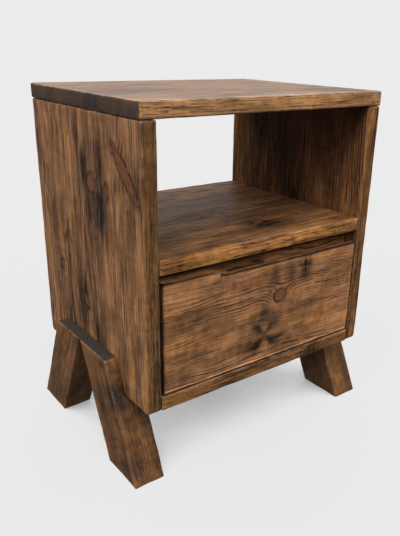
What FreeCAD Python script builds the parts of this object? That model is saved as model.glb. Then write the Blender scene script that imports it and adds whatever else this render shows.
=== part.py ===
"""Nightstand with one drawer: solid pine case on two A-shaped pairs of notched legs.

Frame: millimetres, +Z up, front towards -Y, origin on the floor under the middle of the case.
Every piece of wood is a body or a drilled body of its own; dowels and screws are groups of solids.
"""
import FreeCAD, Part
import math
import os
import re
import Sketcher

# Driving dimensions: alias, millimetres (or degrees), meaning.
SIZES = [
    ("top_width", 362.0, "width of the top board"),
    ("case_width", 360.0, "over the outsides of the two side panels"),
    ("case_depth", 286.0, "depth of the case boards, front to back"),
    ("stand_height", 458.0, "floor to the upper face of the top board"),
    ("board", 19.0, "thickness of the case boards"),
    ("case_lift", 100.0, "floor to the underside of the case"),
    ("bay_height", 152.5, "clear height of the drawer bay"),
    ("arris", 1.6, "radius of the eased edges"),
    ("corner", 3.0, "radius of the side panels' corners"),
    ("leg_width", 64.0, "leg stock, across the grain in the side view"),
    ("leg_thick", 42.5, "leg stock, side to side"),
    ("leg_lap", 18.5, "part of the leg that laps over the side panel"),
    ("leg_top", 147.0, "floor to the cut top of the lap"),
    ("leg_lean", 25.7, "lean of the leg from upright, degrees"),
    ("leg_setback", 2.4, "front feet behind the face of the case"),
    ("face_height", 140.0, "height of the drawer front"),
    ("face_gap", 3.4, "gap beside the drawer front"),
    ("face_lift", 3.2, "gap under the drawer front"),
    ("scoop_drop", 6.0, "how far the finger edge is cut down"),
    ("scoop_start", 72.0, "full-height stretch of the drawer front's top edge"),
    ("scoop_ramp", 23.0, "length of the curved ramp down to the finger edge"),
    ("bevel", 14.0, "bevel behind the finger edge"),
    ("box_board", 15.0, "thickness of the drawer box boards"),
    ("box_lift", 4.2, "gap between the bottom board and the drawer box"),
    ("box_gap", 4.0, "gap between the drawer box and the side panels"),
    ("box_length", 245.0, "drawer box, front to back"),
    ("box_height", 139.0, "height of the drawer box sides"),
    ("box_back_drop", 12.0, "drawer back lower than the drawer sides"),
    ("panel", 6.0, "thickness of the drawer bottom"),
    ("panel_lift", 8.0, "drawer bottom above the lower edge of the drawer sides"),
    ("panel_tongue", 6.0, "how far the drawer bottom sits in its grooves"),
    ("back_thick", 12.0, "thickness of the back board"),
    ("back_inset", 3.0, "back board in from the rear edges"),
    ("runner_thick", 11.0, "drawer runner, side to side"),
    ("runner_height", 16.0, "drawer runner, height"),
    ("runner_lift", 63.0, "bottom board to the underside of the runner"),
    ("runner_start", 37.0, "runner behind the face of the case"),
    ("runner_length", 226.0, "drawer runner, front to back"),
    ("groove_play", 0.4, "play round the runner in its groove"),
    ("dowel_radius", 4.0, "beech dowels of the case"),
    ("dowel_deep", 20.0, "dowel in the end or edge of a board"),
    ("dowel_shallow", 12.0, "dowel in the face of a board"),
    ("pin_radius", 3.0, "dowels of the back board and the drawer box"),
    ("pin_deep", 21.0, "thin dowel in the end of a board"),
    ("pin_shallow", 10.0, "thin dowel in the face of a side panel"),
    ("top_pitch", 70.0, "spacing of the dowels under the top board"),
    ("end_pitch", 100.0, "spacing of the dowels in the ends of shelf and bottom"),
    ("back_pitch", 80.0, "spacing of the dowels in the ends of the back board"),
    ("box_pitch", 80.0, "spacing of the dowels at each corner of the drawer box"),
    ("screw_radius", 2.0, "shank of the large screws"),
    ("screw_length", 30.0, "length of the large screws"),
    ("screw_head", 4.0, "head radius of the large screws"),
    ("small_radius", 1.75, "shank of the runner screws"),
    ("small_length", 24.0, "length of the runner screws"),
    ("small_head", 3.5, "head radius of the runner screws"),
    ("head_rim", 0.4, "straight rim of a countersunk head"),
    ("head_depth", 2.4, "depth of a countersunk head"),
    ("recess_arm", 1.9, "half length of the cross recess"),
    ("recess_slot", 0.45, "half width of the cross recess"),
    ("recess_depth", 1.5, "depth of the cross recess"),
    ("tip_length", 4.0, "pointed end of a screw"),
    ("leg_screw_lift", 130.0, "floor to the leg screws"),
    ("leg_screw_pitch", 30.0, "spacing of the two screws in a leg"),
    ("face_screw_reach", 110.0, "drawer front screws from the middle"),
    ("face_screw_pitch", 80.0, "spacing of the drawer front screws, up and down"),
    ("runner_pitch", 90.0, "spacing of the screws in a runner"),
]
NAMES = {alias for alias, value, meaning in SIZES}

doc = FreeCAD.newDocument("Nightstand")
nodes = []


def fill_sheet():
    """Write the driving dimensions into the document's spreadsheet."""
    sheet = doc.addObject("Spreadsheet::Sheet", "Sizes")
    for row, (alias, value, meaning) in enumerate(SIZES, start=1):
        sheet.set(f"A{row}", meaning)
        sheet.set(f"B{row}", str(value))
        sheet.setAlias(f"B{row}", alias)
    doc.recompute()
    return sheet


def bind(thing, prop, text):
    """Bind a property to an expression written with the spreadsheet's aliases."""
    def full(word):
        return f"Sizes.{word[0]}" if word[0] in NAMES else word[0]
    thing.setExpression(prop, re.sub(r"[A-Za-z_]+", full, text))


def place(thing, at, turn=None):
    """Put a piece at three expressions, after an optional fixed turn."""
    if turn is not None:
        thing.Placement = FreeCAD.Placement(FreeCAD.Vector(), turn)
    for axis, text in zip("xyz", at):
        bind(thing, f"Placement.Base.{axis}", text)


def keep(thing, label):
    """Name a finished piece, so that it is exported as a node."""
    thing.Label = label
    nodes.append(thing)
    return thing


# ---- Sketches and bodies ------------------------------------------------------------------

def sketch_on(body, name, role):
    """A sketch flat on one of the body's own origin planes."""
    sketch = body.newObject("Sketcher::SketchObject", name)
    plane = next(item for item in body.Origin.OriginFeatures if item.Role == role)
    sketch.AttachmentSupport = [(plane, "")]
    sketch.MapMode = "FlatFace"
    return sketch


def outline(sketch, points):
    """A closed outline of straight lines through points given as pairs of expressions."""
    count = len(points)
    for index in range(count):
        start = FreeCAD.Vector(index, index * index, 0)
        end = FreeCAD.Vector(index + 1, (index + 1) ** 2, 0)
        sketch.addGeometry(Part.LineSegment(start, end))
    for index in range(count):
        sketch.addConstraint(Sketcher.Constraint("Coincident", index, 2, (index + 1) % count, 1))
    for index, pair in enumerate(points):
        fix_point(sketch, index, 1, pair)


def fix_point(sketch, edge, end, pair):
    """Fix one end (or the centre) of a sketch edge at two expressions from the origin."""
    now = sketch.getPoint(edge, end)
    for kind, value, text in zip(("DistanceX", "DistanceY"), now, pair):
        row = sketch.addConstraint(Sketcher.Constraint(kind, -1, 1, edge, end, value))
        bind(sketch, f"Constraints[{row}]", text)


def pad(body, sketch, length):
    """Thicken a sketch along its normal."""
    feature = body.newObject("PartDesign::Pad", f"{body.Name}_pad")
    feature.Profile = sketch
    bind(feature, "Length", length)
    return feature


def pocket(body, name, sketch, length, towards_normal):
    """Cut a sketch's shape out of the body, with a check that it removed something."""
    doc.recompute()
    before = body.Shape.Volume
    feature = body.newObject("PartDesign::Pocket", name)
    feature.Profile = sketch
    feature.Reversed = towards_normal
    bind(feature, "Length", length)
    doc.recompute()
    if body.Shape.Volume > before - 1.0:
        raise RuntimeError(f"{name} cuts nothing")
    return feature


def ease(body, base, radius, chosen):
    """Round over the edges that the test chooses."""
    doc.recompute()
    names = [f"Edge{number}" for number, edge in enumerate(base.Shape.Edges, start=1)
             if chosen(edge)]
    feature = body.newObject("PartDesign::Fillet", f"{base.Name}_eased")
    feature.Base = (base, names)
    bind(feature, "Radius", radius)
    return feature


def runs_along(axis):
    """A test for straight edges along the axis with this number: 0, 1 or 2."""
    def test(edge):
        way = edge.Vertexes[-1].Point - edge.Vertexes[0].Point
        return abs(abs(way[axis]) - way.Length) < 1e-6
    return test


def every_edge(edge):
    """A test that takes every edge."""
    return True


def slab(name, size, at, eased=every_edge):
    """A planed board: a rectangle, thickened, with its edges eased."""
    body = doc.addObject("PartDesign::Body", name)
    across, along, up = size
    sketch = sketch_on(body, f"{name}_outline", "XY_Plane")
    outline(sketch, [("0", "0"), (across, "0"), (across, along), ("0", along)])
    base = pad(body, sketch, up)
    if eased is not None:
        ease(body, base, "arris", eased)
    place(body, at)
    return body


# ---- Dowels, screws and drilling ----------------------------------------------------------

ALONG_X = FreeCAD.Rotation(FreeCAD.Vector(0, 1, 0), 90)
AGAINST_X = FreeCAD.Rotation(FreeCAD.Vector(0, 1, 0), -90)
AGAINST_Y = FreeCAD.Rotation(FreeCAD.Vector(1, 0, 0), 90)
HALF_TURN = FreeCAD.Rotation(FreeCAD.Vector(0, 0, 1), 180)


def group(label, members):
    """A group of equal fasteners that share one node as separate solids."""
    bundle = doc.addObject("Part::Compound", label)
    bundle.Links = members
    return keep(bundle, label)


def dowels(label, radius, length, spots):
    """Plain round pegs; each spot is a start point and a turn, or None to stand upright."""
    pegs = []
    for number, (at, turn) in enumerate(spots, start=1):
        peg = doc.addObject("Part::Cylinder", f"{label}_{number}")
        bind(peg, "Radius", radius)
        bind(peg, "Height", length)
        place(peg, at, turn)
        pegs.append(peg)
    return group(label, pegs)


def screw_body(name, radius, length, head, with_recess):
    """A countersunk wood screw that points along +Z, with the top of its head at the origin."""
    body = doc.addObject("PartDesign::Body", name)
    profile = sketch_on(body, f"{name}_profile", "XZ_Plane")
    outline(profile, [
        ("0", "0"), (head, "0"), (head, "head_rim"), (radius, "head_depth"),
        (radius, f"{length} - tip_length"), ("0", length),
    ])
    turned = body.newObject("PartDesign::Revolution", f"{name}_turned")
    turned.Profile = profile
    turned.ReferenceAxis = (profile, ["V_Axis"])
    turned.Angle = 360.0
    if with_recess:
        cross = sketch_on(body, f"{name}_cross", "XY_Plane")
        outline(cross, cross_points("recess_arm", "recess_slot"))
        pocket(body, f"{name}_recess", cross, "recess_depth", True)
    return body


def cross_points(arm, slot):
    """The twelve corners of a cross recess, a quarter at a time."""
    return [
        (arm, slot), (slot, slot), (slot, arm),
        (f"-{slot}", arm), (f"-{slot}", slot), (f"-{arm}", slot),
        (f"-{arm}", f"-{slot}"), (f"-{slot}", f"-{slot}"), (f"-{slot}", f"-{arm}"),
        (slot, f"-{arm}"), (slot, f"-{slot}"), (arm, f"-{slot}"),
    ]


def screw_kind(name, radius, length, head):
    """A kind of screw, and the plain shape of the hole that it sits in."""
    return (screw_body(name, radius, length, head, True),
            screw_body(f"{name}_seat", radius, length, head, False))


def screws(label, kind, spots):
    """Screws of one kind in their own node. Returns the shapes of their holes."""
    copies = []
    for role, master in zip(("screw", "seat"), kind):
        links = []
        for number, (at, turn) in enumerate(spots, start=1):
            link = doc.addObject("App::Link", f"{label}_{role}_{number}")
            link.LinkedObject = master
            place(link, at, turn)
            links.append(link)
        copies.append(links)
    group(label, copies[0])
    return copies[1]


def drilled(label, blank, tools):
    """A board with the fasteners' own shapes taken out of it."""
    bundle = doc.addObject("Part::Compound", f"{label}_bores")
    bundle.Links = tools
    result = doc.addObject("Part::Cut", label)
    result.Base = blank
    result.Tool = bundle
    return keep(result, label)


# ---- Places that several pieces share -----------------------------------------------------

FRONT = "-case_depth / 2"
INNER = "(case_width / 2 - board)"
BAY_FLOOR = "case_lift + board"
SHELF_FLOOR = "case_lift + board + bay_height"
BOX_HALF = "(case_width / 2 - board - box_gap)"
BOX_FRONT = "-case_depth / 2 + board"
BOX_FLOOR = "case_lift + board + box_lift"
LEG_SPAN = "leg_width / cos(leg_lean)"
LEG_SHIFT = "leg_top * tan(leg_lean)"
APEX = f"{FRONT} + leg_setback + {LEG_SPAN} + {LEG_SHIFT}"
SIDES = (("left", -1), ("right", 1))


def start_along_x(side, face, before, after):
    """Where a peg along +X starts, when it crosses a face on the left or the right.

    It reaches `before` beyond the face, away from the middle, and `after` towards the middle.
    """
    return f"-{face} - {before}" if side < 0 else f"{face} - {after}"


# ---- Fasteners ----------------------------------------------------------------------------

def top_dowels():
    """Upright dowels between the side panels' upper edges and the top board."""
    spots = []
    for name, side in SIDES:
        for row in range(4):
            at = (f"{side} * (case_width - board) / 2", f"{row - 1.5} * top_pitch",
                  "stand_height - board - dowel_deep")
            spots.append((at, None))
    return dowels("top_dowels", "dowel_radius", "dowel_deep + dowel_shallow", spots)


def end_dowels(label, height):
    """Level dowels between the ends of the shelf or the bottom board and the side panels."""
    spots = []
    for name, side in SIDES:
        for row in range(3):
            across = start_along_x(side, INNER, "dowel_shallow", "dowel_deep")
            spots.append(((across, f"{row - 1} * end_pitch", height), ALONG_X))
    return dowels(label, "dowel_radius", "dowel_deep + dowel_shallow", spots)


def back_dowels():
    """Thin dowels between the ends of the back board and the side panels."""
    spots = []
    for name, side in SIDES:
        for row in range(2):
            at = (start_along_x(side, INNER, "pin_shallow", "pin_deep"),
                  "case_depth / 2 - back_inset - back_thick / 2",
                  f"{BAY_FLOOR} + bay_height / 2 + {row - 0.5} * back_pitch")
            spots.append((at, ALONG_X))
    return dowels("back_dowels", "pin_radius", "pin_deep + pin_shallow", spots)


def drawer_box_dowels():
    """Dowels through the drawer sides into the ends of the box front and back."""
    spots = []
    for name, side in SIDES:
        for depth in ("box_board / 2", "box_length - box_board / 2"):
            for row in range(2):
                at = (start_along_x(side, BOX_HALF, "0", "(box_board + pin_deep)"),
                      f"{BOX_FRONT} + {depth}",
                      f"{BOX_FLOOR} + (box_height - box_back_drop) / 2 + {row - 0.5} * box_pitch")
                spots.append((at, ALONG_X))
    return dowels("drawer_box_dowels", "pin_radius", "box_board + pin_deep", spots)


def leg_screws(kind):
    """Two screws in each leg, driven outwards from inside the case into the lap."""
    spots = []
    for name, side in SIDES:
        turn = AGAINST_X if side < 0 else ALONG_X
        for end in (-1, 1):
            for step in (-0.5, 0.5):
                middle = f"({LEG_SPAN} / 2 + (leg_top - leg_screw_lift) * tan(leg_lean))"
                along = f"{APEX} + {end} * {middle} + {step} * leg_screw_pitch"
                spots.append(((f"{side} * {INNER}", along, "leg_screw_lift"), turn))
    return screws("leg_screws", kind, spots)


def runner_screws(kind):
    """Three screws through each runner into its side panel."""
    spots = []
    for name, side in SIDES:
        turn = AGAINST_X if side < 0 else ALONG_X
        for step in (-1, 0, 1):
            at = (f"{side} * ({INNER} - runner_thick)",
                  f"{FRONT} + runner_start + runner_length / 2 + {step} * runner_pitch",
                  f"{BAY_FLOOR} + runner_lift + runner_height / 2")
            spots.append((at, turn))
    return screws("runner_screws", kind, spots)


def drawer_front_screws(kind):
    """Four screws from inside the drawer box into the back of the drawer front."""
    spots = []
    for side in (-1, 1):
        for step in (-0.5, 0.5):
            at = (f"{side} * face_screw_reach", f"{BOX_FRONT} + box_board",
                  f"{BOX_FLOOR} + box_height / 2 + {step} * face_screw_pitch")
            spots.append((at, AGAINST_Y))
    return screws("drawer_front_screws", kind, spots)


# ---- Case ---------------------------------------------------------------------------------

def side_panel(name, side, tools):
    """A full-height side panel, with rounded corners and eased edges."""
    label = f"{name}_side_panel"
    across = "-case_width / 2" if side < 0 else INNER
    body = slab(f"{label}_blank", ("board", "case_depth", "stand_height - board - case_lift"),
                (across, FRONT, "case_lift"), None)
    rounded = ease(body, body.Tip, "corner", runs_along(0))
    ease(body, rounded, "arris", lambda edge: not runs_along(0)(edge))
    drilled(label, body, tools)


def case_boards(pegs, leg_seats, runner_seats):
    """The top, the two sides, the shelf, the bottom and the back board."""
    top, shelf, bottom, back = (pegs[name] for name in ("top", "shelf", "bottom", "back"))
    blank = slab("top_blank", ("top_width", "case_depth", "board"),
                 ("-top_width / 2", FRONT, "stand_height - board"))
    drilled("top_board", blank, [top])
    for name, side in SIDES:
        side_panel(name, side, [top, shelf, bottom, back] + leg_seats + runner_seats)
    level = ("case_width - 2 * board", "case_depth", "board")
    blank = slab("shelf_blank", level, (f"-{INNER}", FRONT, SHELF_FLOOR), runs_along(0))
    drilled("shelf_board", blank, [shelf])
    blank = slab("bottom_blank", level, (f"-{INNER}", FRONT, "case_lift"), runs_along(0))
    drilled("bottom_board", blank, [bottom])
    blank = slab("back_blank", ("case_width - 2 * board", "back_thick", "bay_height"),
                 (f"-{INNER}", "case_depth / 2 - back_inset - back_thick", BAY_FLOOR), None)
    drilled("back_board", blank, [back])


def leg(label, leans_back, turned, seats):
    """A leaning leg, notched so that half of it laps over the outside of the case.

    The profile leans towards +Y or towards -Y. A leg for the right-hand side is turned half
    way round, which swaps its front and its back.
    """
    span, shift = LEG_SPAN, LEG_SHIFT
    body = doc.addObject("PartDesign::Body", f"{label}_blank")
    profile = sketch_on(body, f"{label}_profile", "YZ_Plane")
    low, high = ("0", shift) if leans_back else (shift, "0")
    outline(profile, [(low, "0"), (f"{low} + {span}", "0"),
                      (f"{high} + {span}", "leg_top"), (high, "leg_top")])
    pad(body, profile, "leg_thick")
    notch = sketch_on(body, f"{label}_notch", "XZ_Plane")
    outline(notch, [("leg_lap", "case_lift"), ("leg_thick", "case_lift"),
                    ("leg_thick", "leg_top"), ("leg_lap", "leg_top")])
    shoulder = pocket(body, f"{label}_shoulder", notch, f"{span} + {shift}", False)
    lap, lift = sheet.get("leg_lap"), sheet.get("case_lift")

    def is_outside(edge):
        """All edges but those of the notch, which bear on the case."""
        return any(point.Point.x < lap - 0.01 or point.Point.z < lift - 0.01
                   for point in edge.Vertexes)
    ease(body, shoulder, "arris", is_outside)
    outer = "case_width / 2 + leg_lap"
    is_front = leans_back != turned
    low_end = f"{APEX} - {span} - {shift}"
    high_end = f"{APEX} + {span} + {shift}"
    if turned:
        place(body, (outer, APEX if is_front else high_end, "0"), HALF_TURN)
    else:
        place(body, (f"-({outer})", low_end if is_front else APEX, "0"))
    drilled(label, body, seats)


def legs(seats):
    """Two A-shaped pairs: the legs of a pair meet at the top, under the middle of a side."""
    leg("front_left_leg", True, False, seats[0:2])
    leg("rear_left_leg", False, False, seats[2:4])
    leg("front_right_leg", False, True, seats[4:6])
    leg("rear_right_leg", True, True, seats[6:8])


def runners(seats):
    """Hardwood strips on the inside of the case that carry the drawer by its grooves."""
    for (name, side), own in zip(SIDES, (seats[0:3], seats[3:6])):
        across = f"-{INNER}" if side < 0 else f"{INNER} - runner_thick"
        blank = slab(f"{name}_runner_blank", ("runner_thick", "runner_length", "runner_height"),
                     (across, f"{FRONT} + runner_start", f"{BAY_FLOOR} + runner_lift"),
                     runs_along(0))
        drilled(f"{name}_drawer_runner", blank, own)


# ---- Drawer -------------------------------------------------------------------------------

def drawer_front(seats):
    """The drawer front: its top edge drops by a curved ramp to a bevelled finger edge."""
    wide = "(case_width - 2 * board - 2 * face_gap)"
    body = doc.addObject("PartDesign::Body", "drawer_front_blank")
    face = sketch_on(body, "drawer_front_outline", "XZ_Plane")
    outline(face, [("0", "0"), (wide, "0"), (wide, "face_height"), ("0", "face_height")])
    pad(body, face, "board")
    scoop = sketch_on(body, "drawer_front_scoop", "XZ_Plane")
    scoop_outline(scoop, wide)
    pocket(body, "drawer_front_finger_edge", scoop, "board", True)
    wedge = sketch_on(body, "drawer_front_wedge", "YZ_Plane")
    bind(wedge, "AttachmentOffset.Base.z", "scoop_start + scoop_ramp")
    outline(wedge, [("0", "face_height - scoop_drop"), ("0", "face_height - scoop_drop - bevel"),
                    ("-bevel", "face_height - scoop_drop")])
    bevelled = pocket(body, "drawer_front_bevel", wedge, wide, True)
    thick = sheet.get("board")

    def is_on_face(edge):
        """The edges round the face of the drawer."""
        return all(abs(point.Point.y + thick) < 0.01 for point in edge.Vertexes)
    ease(body, bevelled, "arris", is_on_face)
    place(body, (f"-{wide} / 2", BOX_FRONT, f"{BAY_FLOOR} + face_lift"))
    drilled("drawer_front", body, seats)


def scoop_outline(sketch, wide):
    """The waste above the finger edge; the ramp is an arc that ends level with that edge."""
    start, ramp, drop, top = (sheet.get(name) for name in
                              ("scoop_start", "scoop_ramp", "scoop_drop", "face_height"))
    right = sheet.get("case_width")
    radius = (ramp ** 2 + drop ** 2) / (2 * drop)
    centre = FreeCAD.Vector(start + ramp, top - drop + radius, 0)
    first_angle = math.pi + math.atan2(radius - drop, ramp)
    circle = Part.Circle(centre, FreeCAD.Vector(0, 0, 1), radius)
    corners = [FreeCAD.Vector(start + ramp, top - drop, 0), FreeCAD.Vector(right, top - drop, 0),
               FreeCAD.Vector(right, top, 0), FreeCAD.Vector(start, top, 0)]
    sketch.addGeometry(Part.ArcOfCircle(circle, first_angle, 1.5 * math.pi))
    for one, other in zip(corners, corners[1:]):
        sketch.addGeometry(Part.LineSegment(one, other))
    for edge in range(4):
        sketch.addConstraint(Sketcher.Constraint("Coincident", edge, 2, (edge + 1) % 4, 1))
    fix_point(sketch, 0, 1, ("scoop_start", "face_height"))
    fix_point(sketch, 1, 1, ("scoop_start + scoop_ramp", "face_height - scoop_drop"))
    fix_point(sketch, 2, 1, (wide, "face_height - scoop_drop"))
    fix_point(sketch, 3, 1, (wide, "face_height"))
    row = sketch.addConstraint(Sketcher.Constraint("DistanceX", -1, 1, 0, 3, centre.x))
    bind(sketch, f"Constraints[{row}]", "scoop_start + scoop_ramp")


def drawer_side(name, side, tools):
    """A drawer side with a stopped groove along its outer face for the runner."""
    label = f"drawer_{name}_side"
    body = slab(f"{label}_blank", ("box_board", "box_length", "box_height"),
                (f"-{BOX_HALF}" if side < 0 else f"{BOX_HALF} - box_board",
                 BOX_FRONT, BOX_FLOOR), None)
    depth = "(runner_thick - box_gap + groove_play)"
    near, far = ("0", depth) if side < 0 else (f"box_board - {depth}", "box_board")
    floor = "runner_lift - box_lift - groove_play"
    roof = "runner_lift - box_lift + runner_height + groove_play"
    groove = sketch_on(body, f"{label}_groove", "XZ_Plane")
    bind(groove, "AttachmentOffset.Base.z", "board + groove_play - runner_start")
    outline(groove, [(near, floor), (far, floor), (far, roof), (near, roof)])
    pocket(body, f"{label}_runner_groove", groove, "box_length", False)
    drilled(label, body, tools)


def drawer(pegs, seats):
    """The drawer: a doweled box with its bottom in grooves, and the front screwed to it."""
    inside = "case_width - 2 * board - 2 * box_gap - 2 * box_board"
    bottom = slab("drawer_bottom_panel",
                  (f"{inside} + 2 * panel_tongue", "box_length - 2 * box_board + 2 * panel_tongue",
                   "panel"),
                  (f"-({inside}) / 2 - panel_tongue", f"{BOX_FRONT} + box_board - panel_tongue",
                   f"{BOX_FLOOR} + panel_lift"), None)
    keep(bottom, "drawer_bottom")
    for name, side in SIDES:
        drawer_side(name, side, [pegs, bottom])
    blank = slab("box_front_blank", (inside, "box_board", "box_height"),
                 (f"-({inside}) / 2", BOX_FRONT, BOX_FLOOR), None)
    drilled("drawer_box_front", blank, [pegs, bottom] + seats)
    blank = slab("box_back_blank", (inside, "box_board", "box_height - box_back_drop"),
                 (f"-({inside}) / 2", f"{BOX_FRONT} + box_length - box_board", BOX_FLOOR), None)
    drilled("drawer_box_back", blank, [pegs, bottom])
    drawer_front(seats)


# ---- Build, check and export --------------------------------------------------------------

def build():
    """Make every piece, fasteners first, because the boards are drilled with them."""
    large = screw_kind("large_screw", "screw_radius", "screw_length", "screw_head")
    small = screw_kind("small_screw", "small_radius", "small_length", "small_head")
    pegs = {
        "top": top_dowels(),
        "shelf": end_dowels("shelf_dowels", f"{SHELF_FLOOR} + board / 2"),
        "bottom": end_dowels("bottom_dowels", "case_lift + board / 2"),
        "back": back_dowels(),
    }
    leg_seats = leg_screws(large)
    runner_seats = runner_screws(small)
    case_boards(pegs, leg_seats, runner_seats)
    legs(leg_seats)
    runners(runner_seats)
    drawer(drawer_box_dowels(), drawer_front_screws(large))
    doc.recompute()


def check():
    """Stop if any object failed to compute or any node's shape isn't sound."""
    for item in doc.Objects:
        if "Invalid" in item.State or "Error" in item.State:
            raise RuntimeError(f"{item.Name} failed: {item.State}")
    for node in nodes:
        if node.Shape.isNull() or not node.Shape.isValid() or not node.Shape.Solids:
            raise RuntimeError(f"{node.Label} has no sound shape")


def export():
    """Write one STEP file for each node."""
    os.makedirs("parts", exist_ok=True)
    for node in nodes:
        node.Shape.exportStep(f"parts/{node.Label}.step")
        box = node.Shape.BoundBox
        print(f"{node.Label}: {len(node.Shape.Solids)} solid(s), {node.Shape.Volume:.0f} mm3, "
              f"{box.XLength:.1f} x {box.YLength:.1f} x {box.ZLength:.1f} mm")


sheet = fill_sheet()
build()
check()
export()
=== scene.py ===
"""A nightstand in stained rustic pine: the looks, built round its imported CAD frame."""

from __future__ import annotations

import logging
import math
from dataclasses import dataclass, field
from enum import Enum
from typing import Mapping, Sequence, Union

import bmesh
import bpy
from mathutils import Matrix, Vector, noise


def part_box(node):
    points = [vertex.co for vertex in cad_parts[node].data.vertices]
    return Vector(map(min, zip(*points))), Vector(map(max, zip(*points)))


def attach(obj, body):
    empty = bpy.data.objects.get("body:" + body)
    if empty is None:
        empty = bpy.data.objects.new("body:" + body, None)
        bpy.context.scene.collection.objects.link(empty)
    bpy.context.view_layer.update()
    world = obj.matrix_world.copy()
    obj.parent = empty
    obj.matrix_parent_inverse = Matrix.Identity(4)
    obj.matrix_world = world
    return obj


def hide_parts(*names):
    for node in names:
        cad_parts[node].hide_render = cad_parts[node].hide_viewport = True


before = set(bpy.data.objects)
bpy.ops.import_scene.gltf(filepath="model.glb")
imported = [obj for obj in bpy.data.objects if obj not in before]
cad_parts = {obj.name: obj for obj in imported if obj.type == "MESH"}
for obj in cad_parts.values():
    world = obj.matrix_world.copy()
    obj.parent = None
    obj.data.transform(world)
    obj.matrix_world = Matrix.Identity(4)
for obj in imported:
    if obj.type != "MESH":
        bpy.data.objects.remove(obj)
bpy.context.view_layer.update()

LOG = logging.getLogger("nightstand")
MM = 0.001
# How close two places are, in metres, to count as level, and as one and the same.
NEAR = 1e-5
SAME = 1e-6
Colour = tuple[float, float, float]
Triple = tuple[float, float, float]
Socket = bpy.types.NodeSocket
Entry = Union["Value", Socket, float, Sequence[float], str]


class Axis(Enum):
    """A way that a board's grain, width or thickness can run."""

    X = (1.0, 0.0, 0.0)
    Y = (0.0, 1.0, 0.0)
    Z = (0.0, 0.0, 1.0)

    @property
    def way(self) -> Vector:
        """The axis as a unit vector."""
        return Vector(self.value)


class Hand(Enum):
    """The side of the stand that a leg is on, as the sign of its x."""

    LEFT = -1
    RIGHT = 1


class End(Enum):
    """Whether a leg stands at the front or the rear, as the sign of its foot's y."""

    FRONT = -1
    REAR = 1


# ---------------------------------------------------------------- shader sums


class Value:
    """A number that varies over a surface, so that sums on it read as Python sums."""

    def __init__(self, sheet: "NodeSheet", socket: Socket) -> None:
        """Wraps a socket.

        Args:
            sheet: the node sheet that the socket is on.
            socket: the socket that gives the number.
        """
        self.sheet = sheet
        self.socket = socket

    def _sum(self, operation: str, *others: Entry) -> "Value":
        """The result of one Math node whose first entry is this value."""
        return self.sheet.maths(operation, self, *others)

    def __add__(self, other: Entry) -> "Value":
        """This plus other."""
        return self._sum("ADD", other)

    def __radd__(self, other: Entry) -> "Value":
        """Other plus this."""
        return self._sum("ADD", other)

    def __sub__(self, other: Entry) -> "Value":
        """This minus other."""
        return self._sum("SUBTRACT", other)

    def __rsub__(self, other: Entry) -> "Value":
        """Other minus this."""
        return self.sheet.maths("SUBTRACT", other, self)

    def __mul__(self, other: Entry) -> "Value":
        """This times other."""
        return self._sum("MULTIPLY", other)

    def __rmul__(self, other: Entry) -> "Value":
        """Other times this."""
        return self._sum("MULTIPLY", other)

    def __truediv__(self, other: Entry) -> "Value":
        """This over other."""
        return self._sum("DIVIDE", other)

    def __pow__(self, other: Entry) -> "Value":
        """This to the power other."""
        return self._sum("POWER", other)

    def root(self) -> "Value":
        """Its square root."""
        return self._sum("SQRT")

    def fraction(self) -> "Value":
        """What is left above its whole number."""
        return self._sum("FRACT")

    def whole(self) -> "Value":
        """Its whole number."""
        return self._sum("FLOOR")

    def held(self) -> "Value":
        """The value kept between 0 and 1."""
        return self._sum("MAXIMUM", 0.0)._sum("MINIMUM", 1.0)

    def bell(self, width: float) -> "Value":
        """A bell that is 1 where this is 0 and has fallen to 0.37 at width.

        Args:
            width: how far out the bell has fallen to 0.37.

        Returns:
            The bell.
        """
        share = self / width
        return (share * share * -1.0)._sum("EXPONENT")

    def rise(self, low: float, high: float) -> "Value":
        """A smooth rise from 0 at low to 1 at high.

        Args:
            low: where the rise starts.
            high: where it ends, which may be under low for a fall.

        Returns:
            The rise.
        """
        made = self.sheet.node(
            "ShaderNodeMapRange",
            {"interpolation_type": "SMOOTHSTEP", "clamp": True},
            {"Value": self, "From Min": low, "From Max": high, "To Min": 0.0, "To Max": 1.0},
        )
        return Value(self.sheet, made.outputs["Result"])


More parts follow.
